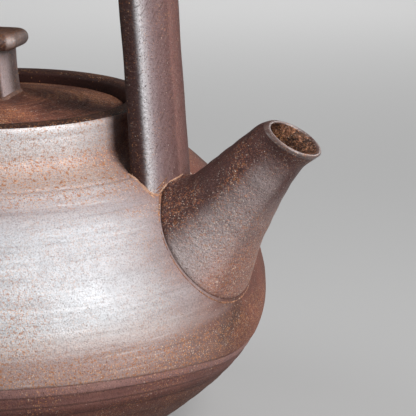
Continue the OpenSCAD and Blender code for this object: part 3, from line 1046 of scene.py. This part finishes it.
def ridge(side, lift):
    """A ridge of slip pressed up the strap's face from the corner of its foot."""
    across = np.linspace(*RIDGE_SPAN, RIDGE_POINTS)
    rise = RIDGE_RISE * np.linspace(0, 1, RIDGE_POINTS) ** 1.3
    return smear(*on_face(side, across, RIDGE_START - lift - rise, 0.7), *RIDGE_SIZE)


def fillet(side):
    """The slip between the strap's face and the body before it."""
    across = np.linspace(FILLET_LINE[0][0], FILLET_LINE[-1][0], FILLET_POINTS)
    return smear(*on_face(side, across, np.interp(across, *zip(*FILLET_LINE)), 0.5), *FILLET_SIZE)


def mark_section(strap, section):
    """Stores how far round the section each corner of a face lies from the long edge with the painted highlight."""
    around = along(np.vstack([section, section[:1]]))
    around = around - around[np.argmax(section[:, 0] - section[:, 1])]
    count = len(section)
    place = strap.data.attributes.new(SECTION, "FLOAT", "CORNER").data
    for k, polygon in enumerate(strap.data.polygons):
        for corner in polygon.loop_indices:
            row = strap.data.loops[corner].vertex_index % count
            if row == 0 and k % count == count - 1:
                row = count
            place[corner].value = around[row]


def handle_pieces():
    rng = np.random.default_rng(23)
    section = strap_section()
    ends = np.array([leg_end(*point) for point in section])
    away = unit(section - SECTION_MIDDLE)

    def uneven(at):
        return 0.1 * np.sin(0.13 * at + 0.9) + 0.06 * np.sin(0.31 * at + 2.2)

    legs = {1: [], -1: []}
    for side, leg in legs.items():
        for s in np.linspace(1.0, 0.0, 90)[:-1]:
            down = s * (ends + FOOT_SINK)
            flare = FOOT_FLARE * np.exp(-np.maximum(ends - down, 0) / FLARE_DECAY)
            grown = section + away * (flare + uneven(down))[:, None]
            leg.append(on_leg(side, *grown.T, down))
    arch = []
    for angle in np.linspace(LEG_LEAN, math.pi - LEG_LEAN, 120):
        grown = section + away * uneven(-ARCH_R * (angle - LEG_LEAN))
        arch.append(on_leg(1, *grown.T, 0.0, angle))
    strap = grid_object("strap_handle", np.stack(legs[1] + arch + legs[-1][::-1]))
    dressed(strap, "pot", "handle_clay", "handle_strap", HANDLE_CLAY)
    mark_section(strap, section)

    foot = section + away * (FOOT_FLARE + 0.3)
    for side, name, node in (
            (1, "front_handle_seam", "front_handle_lute"), (-1, "rear_handle_seam", "rear_handle_lute")):
        shells = [bead(on_body(on_leg(side, *foot.T, ends)), HANDLE_BEAD, rng)]
        for hand in (1, -1):
            line = on_body(spaced([(side * x, hand * y, 0) for x, y in SMEAR_LINE], 0.4))
            shells.append(smear(line, body_normal(line), *SMEAR_SIZE))
        shells += [ridge(side, lift) for lift in RIDGE_LIFTS]
        shells.append(fillet(side))
        dark = [0, 0, 0] + [1] * len(RIDGE_LIFTS) + [0]
        finish = np.repeat(dark, [len(faces) for points, faces in shells])
        seam = joined_object(name, shells)
        dressed(seam, "pot", "slip_seam", node, PALE_SLIP, SLIP, finish=finish)


# Lid and knob

LID_SEGMENTS = 320
LID_TOP_STEP = 0.32
LID_UNDER_STEP = 1.2
LID_ROUND = 0.35
LID_AXIS_R = 0.4
RINGS_FROM = 3.0
KNOB_POINTS = 128
POST_WAIST = 0.25
POST_SPAN = (CROWN_Z - 1.2, CAP_Z + 0.4)
CAP_DOME = ((0.02, 0.12), (0.2, 0.12), (0.4, 0.1), (0.6, 0.05))
CAP_UNDER = (0.7, 0.4, 0.02)
SEAM_SPREAD = 0.9
SEAM_RISE = 1.0
SEAM_SINK = 0.15
CROWN = bezier([(LID_R, LID_EDGE_Z), (0.72 * LID_R, share(LID_EDGE_Z, CROWN_Z, 0.45)), (0.4 * LID_R, CROWN_Z),
                (LID_AXIS_R, CROWN_Z)])


def lid_piece():
    rng = np.random.default_rng(31)
    hollow = bezier([(LID_AXIS_R, HOLLOW_Z), (0.4 * FLANGE_IN_R, HOLLOW_Z),
                     (0.8 * FLANGE_IN_R, share(HOLLOW_Z, SEAT_Z, 0.4)), (FLANGE_IN_R, SEAT_Z)])
    fine = softened(np.vstack([hollow, [(LID_R, SEAT_Z)], CROWN]), LID_ROUND)
    top = np.arange(len(fine)) >= nearest(fine, (LID_R, LID_EDGE_Z))
    profile = thinned(fine, np.where(top, LID_TOP_STEP, LID_UNDER_STEP))
    r, z = profile.T
    is_top = (np.arange(len(profile)) > np.argmax(r) + 1) & (z > LID_EDGE_Z - 0.6)
    angle = turns(LID_SEGMENTS)
    relief = np.zeros((len(profile), LID_SEGMENTS))
    at = RINGS_FROM
    while at < LID_R - 1:
        at += rng.uniform(0.8, 1.9)
        line = at + wander(angle, rng, 0.12)
        part = np.clip(0.6 + np.cos(angle - rng.uniform(0, TAU)), 0.1, 1)
        size = rng.uniform(0.03, 0.11) * rng.choice((-1, 1))
        relief += size * part * bump(r[:, None], line, rng.uniform(0.25, 0.55))
    relief *= is_top[:, None]
    piece = grid_object("turned_lid", lathe(profile, LID_SEGMENTS, relief))
    vent = np.array((-VENT_R * math.cos(LID_TURN), -VENT_R * math.sin(LID_TURN), 0))
    drilled(piece, round_drill([vent + (0, 0, SEAT_Z - 1)], [vent + (0, 0, CROWN_Z + 1)], VENT_D / 2))
    dressed(piece, "lid", "lid_clay", "lid_plate", LID_CLAY)


def flange_finish():
    ring = frame["nodes"]["lid_flange"]
    ring.data.materials.clear()
    ring.data.materials.append(LID_CLAY)


def rounded_outline(half_x, half_y, corner):
    """Points round a rectangle with rounded corners, at even steps."""
    corners = [arc((sx * (half_x - corner), sy * (half_y - corner)), corner, start, start + 90, 16)
               for sx, sy, start in ((1, 1, 0), (-1, 1, 90), (-1, -1, 180), (1, -1, 270))]
    line = np.vstack([*corners, corners[0][:1]])
    return spaced(line, along(line)[-1] / KNOB_POINTS)[:-1]


def at_height(line, z):
    """The flat line at one height, or at a height for each point."""
    return np.column_stack([line, np.broadcast_to(z, len(line))])


def knob_object(name, rows):
    """Rows of points as an object, turned with the lid."""
    x, y, z = np.moveaxis(np.stack(rows), -1, 0)
    c, s = math.cos(LID_TURN), math.sin(LID_TURN)
    return grid_object(name, np.stack([c * x - s * y, s * x + c * y, z], -1))


def knob_pieces():
    rng = np.random.default_rng(41)
    angle = turns(KNOB_POINTS)
    rows = []
    for s in np.linspace(0, 1, 48):
        half = [share(foot, top, s) - POST_WAIST * math.sin(math.pi * s)
                for foot, top in zip(POST_FOOT_HALF, POST_TOP_HALF)]
        rows.append(at_height(rounded_outline(*half, POST_CORNER), share(*POST_SPAN, s)))
    dressed(knob_object("knob_post", rows), "lid", "knob_clay", "knob_stem", KNOB_CLAY)

    nose = CAP_T / 2
    core = rounded_outline(CAP_HALF[0] - nose, CAP_HALF[1] - nose, CAP_CORNER - nose + 0.6)
    out = (rounded_outline(*CAP_HALF, CAP_CORNER) - core) / nose
    rows = [at_height(s * core, CAP_Z + CAP_T + rise) for s, rise in CAP_DOME]
    rows += [at_height(core + x * out, CAP_Z + z) for x, z in arc((0, nose), nose, 90, -90, 22)]
    rows += [at_height(s * core, CAP_Z) for s in CAP_UNDER]
    grow = 1 + wander(angle, rng, 0.006, 4)
    rows = [row * np.stack([grow, grow, np.ones(KNOB_POINTS)], 1) for row in rows]
    dressed(knob_object("knob_cap_piece", rows), "lid", "knob_clay", "knob_cap", CAP_CLAY)

    rows = []
    for s in np.linspace(0, 1, 10):
        spread = SEAM_SPREAD * (1 - math.sin(s * math.pi / 2))
        line = rounded_outline(*(half + spread - 0.1 for half in POST_FOOT_HALF), POST_CORNER + spread)
        line = line * (1 + 0.05 * (1 - s) * wander(angle, rng, 0.5, 7))[:, None]
        crown = np.interp(np.hypot(*line.T), CROWN[::-1, 0], CROWN[::-1, 1])
        rows.append(at_height(line, crown - SEAM_SINK + SEAM_RISE * s))
    dressed(knob_object("knob_seam", rows), "lid", "slip_seam", "knob_lute", SLIP)


body_piece()
spout_pieces()
handle_pieces()
lid_piece()
flange_finish()
knob_pieces()


# Floor, light and camera

FLOOR_HALF = 20.0
FLOOR_GREY = 0.44
FLOOR_ROUGH = 0.8
FLOOR_SHINE = 0.2
FADE = (0.3, 1.15)
SKY = 0.04
AIM = Vector((0, 0, 0.075))
LAMP_DISTANCE = 1.0
LAMP_SPREAD = 90
LAMPS = (("key", -15, 38, (0.44, 0.6), 3.5), ("side", 68, 30, (0.6, 0.5), 0.9), ("rear", 200, 35, (0.8, 0.6), 0.9))
FLOOR_LAMP_AT = (-0.28, 0.75, 0.7)
FLOOR_LAMP = ((0.6, 0.9), 1.0, 80)
SENSOR = 36.0
FOCAL_PIXELS = 1400
PHOTO_PIXELS = 416
EYE = (0.233, -0.3344, 0.1862)
EYE_RIGHT = (0.8976, 0.4408, 0.0095)
EYE_AHEAD = (-0.4218, 0.8647, -0.2727)


def floor():
    """Pale floor. Far from the pot, where no lamp reaches, it keeps its own colour for what looks at it or
    mirrors it, and lights nothing."""
    mesh = bpy.data.meshes.new("floor")
    corners = [(x * FLOOR_HALF, y * FLOOR_HALF, 0) for x, y in ((-1, -1), (1, -1), (1, 1), (-1, 1))]
    mesh.from_pydata(corners, [], [(0, 1, 2, 3)])
    s = Shader("floor")
    seen = s.node("ShaderNodeLightPath", {}).outputs
    looks = s.most(*(seen[f"Is {kind} Ray"] for kind in ("Camera", "Glossy", "Transmission")))
    far = s.span(s.vector("LENGTH", s.place), *FADE, 0.0, FLOOR_GREY)
    mesh.materials.append(s.finish({
        "Base Color": (FLOOR_GREY, FLOOR_GREY, FLOOR_GREY, 1), "Roughness": FLOOR_ROUGH,
        "Specular IOR Level": FLOOR_SHINE, "Emission Color": (1, 1, 1, 1),
        "Emission Strength": s.times(far, looks)}))
    linked("floor", mesh)


def area_lamp(name, size, power, spread):
    lamp = bpy.data.lights.new(name, "AREA")
    lamp.shape = "RECTANGLE"
    lamp.size, lamp.size_y = size
    lamp.energy = power
    lamp.spread = math.radians(spread)
    return linked(name, lamp)


def lamps():
    """Large lamps aimed at the pot, and one over the floor behind it, with the pot outside its cone."""
    for name, azimuth, elevation, size, power in LAMPS:
        light = area_lamp(name, size, power, LAMP_SPREAD)
        az, el = math.radians(azimuth), math.radians(elevation)
        toward = Vector((math.cos(az) * math.cos(el), math.sin(az) * math.cos(el), math.sin(el)))
        light.location = AIM + LAMP_DISTANCE * toward
        light.rotation_euler = (AIM - light.location).to_track_quat("-Z", "Y").to_euler()
    area_lamp("floor_lamp", *FLOOR_LAMP).location = FLOOR_LAMP_AT


def world():
    sky = bpy.data.worlds.new("studio")
    sky.use_nodes = True
    back = sky.node_tree.nodes["Background"]
    back.inputs["Color"].default_value = (1, 1, 1, 1)
    back.inputs["Strength"].default_value = SKY
    bpy.context.scene.world = sky


def camera():
    """The photo's camera, as fitted to its ellipses and outline."""
    lens = bpy.data.cameras.new("camera")
    lens.sensor_width = SENSOR
    lens.lens = SENSOR * FOCAL_PIXELS / PHOTO_PIXELS
    lens.clip_start = 0.01
    ahead = Vector(EYE_AHEAD).normalized()
    up = Vector(EYE_RIGHT).normalized().cross(ahead).normalized()
    turn = Matrix((ahead.cross(up), up, -ahead)).transposed().to_4x4()
    eye = linked("camera", lens)
    eye.matrix_world = Matrix.Translation(EYE) @ turn
    bpy.context.scene.camera = eye


floor()
lamps()
world()
camera()
bpy.context.scene.view_settings.view_transform = "Standard"
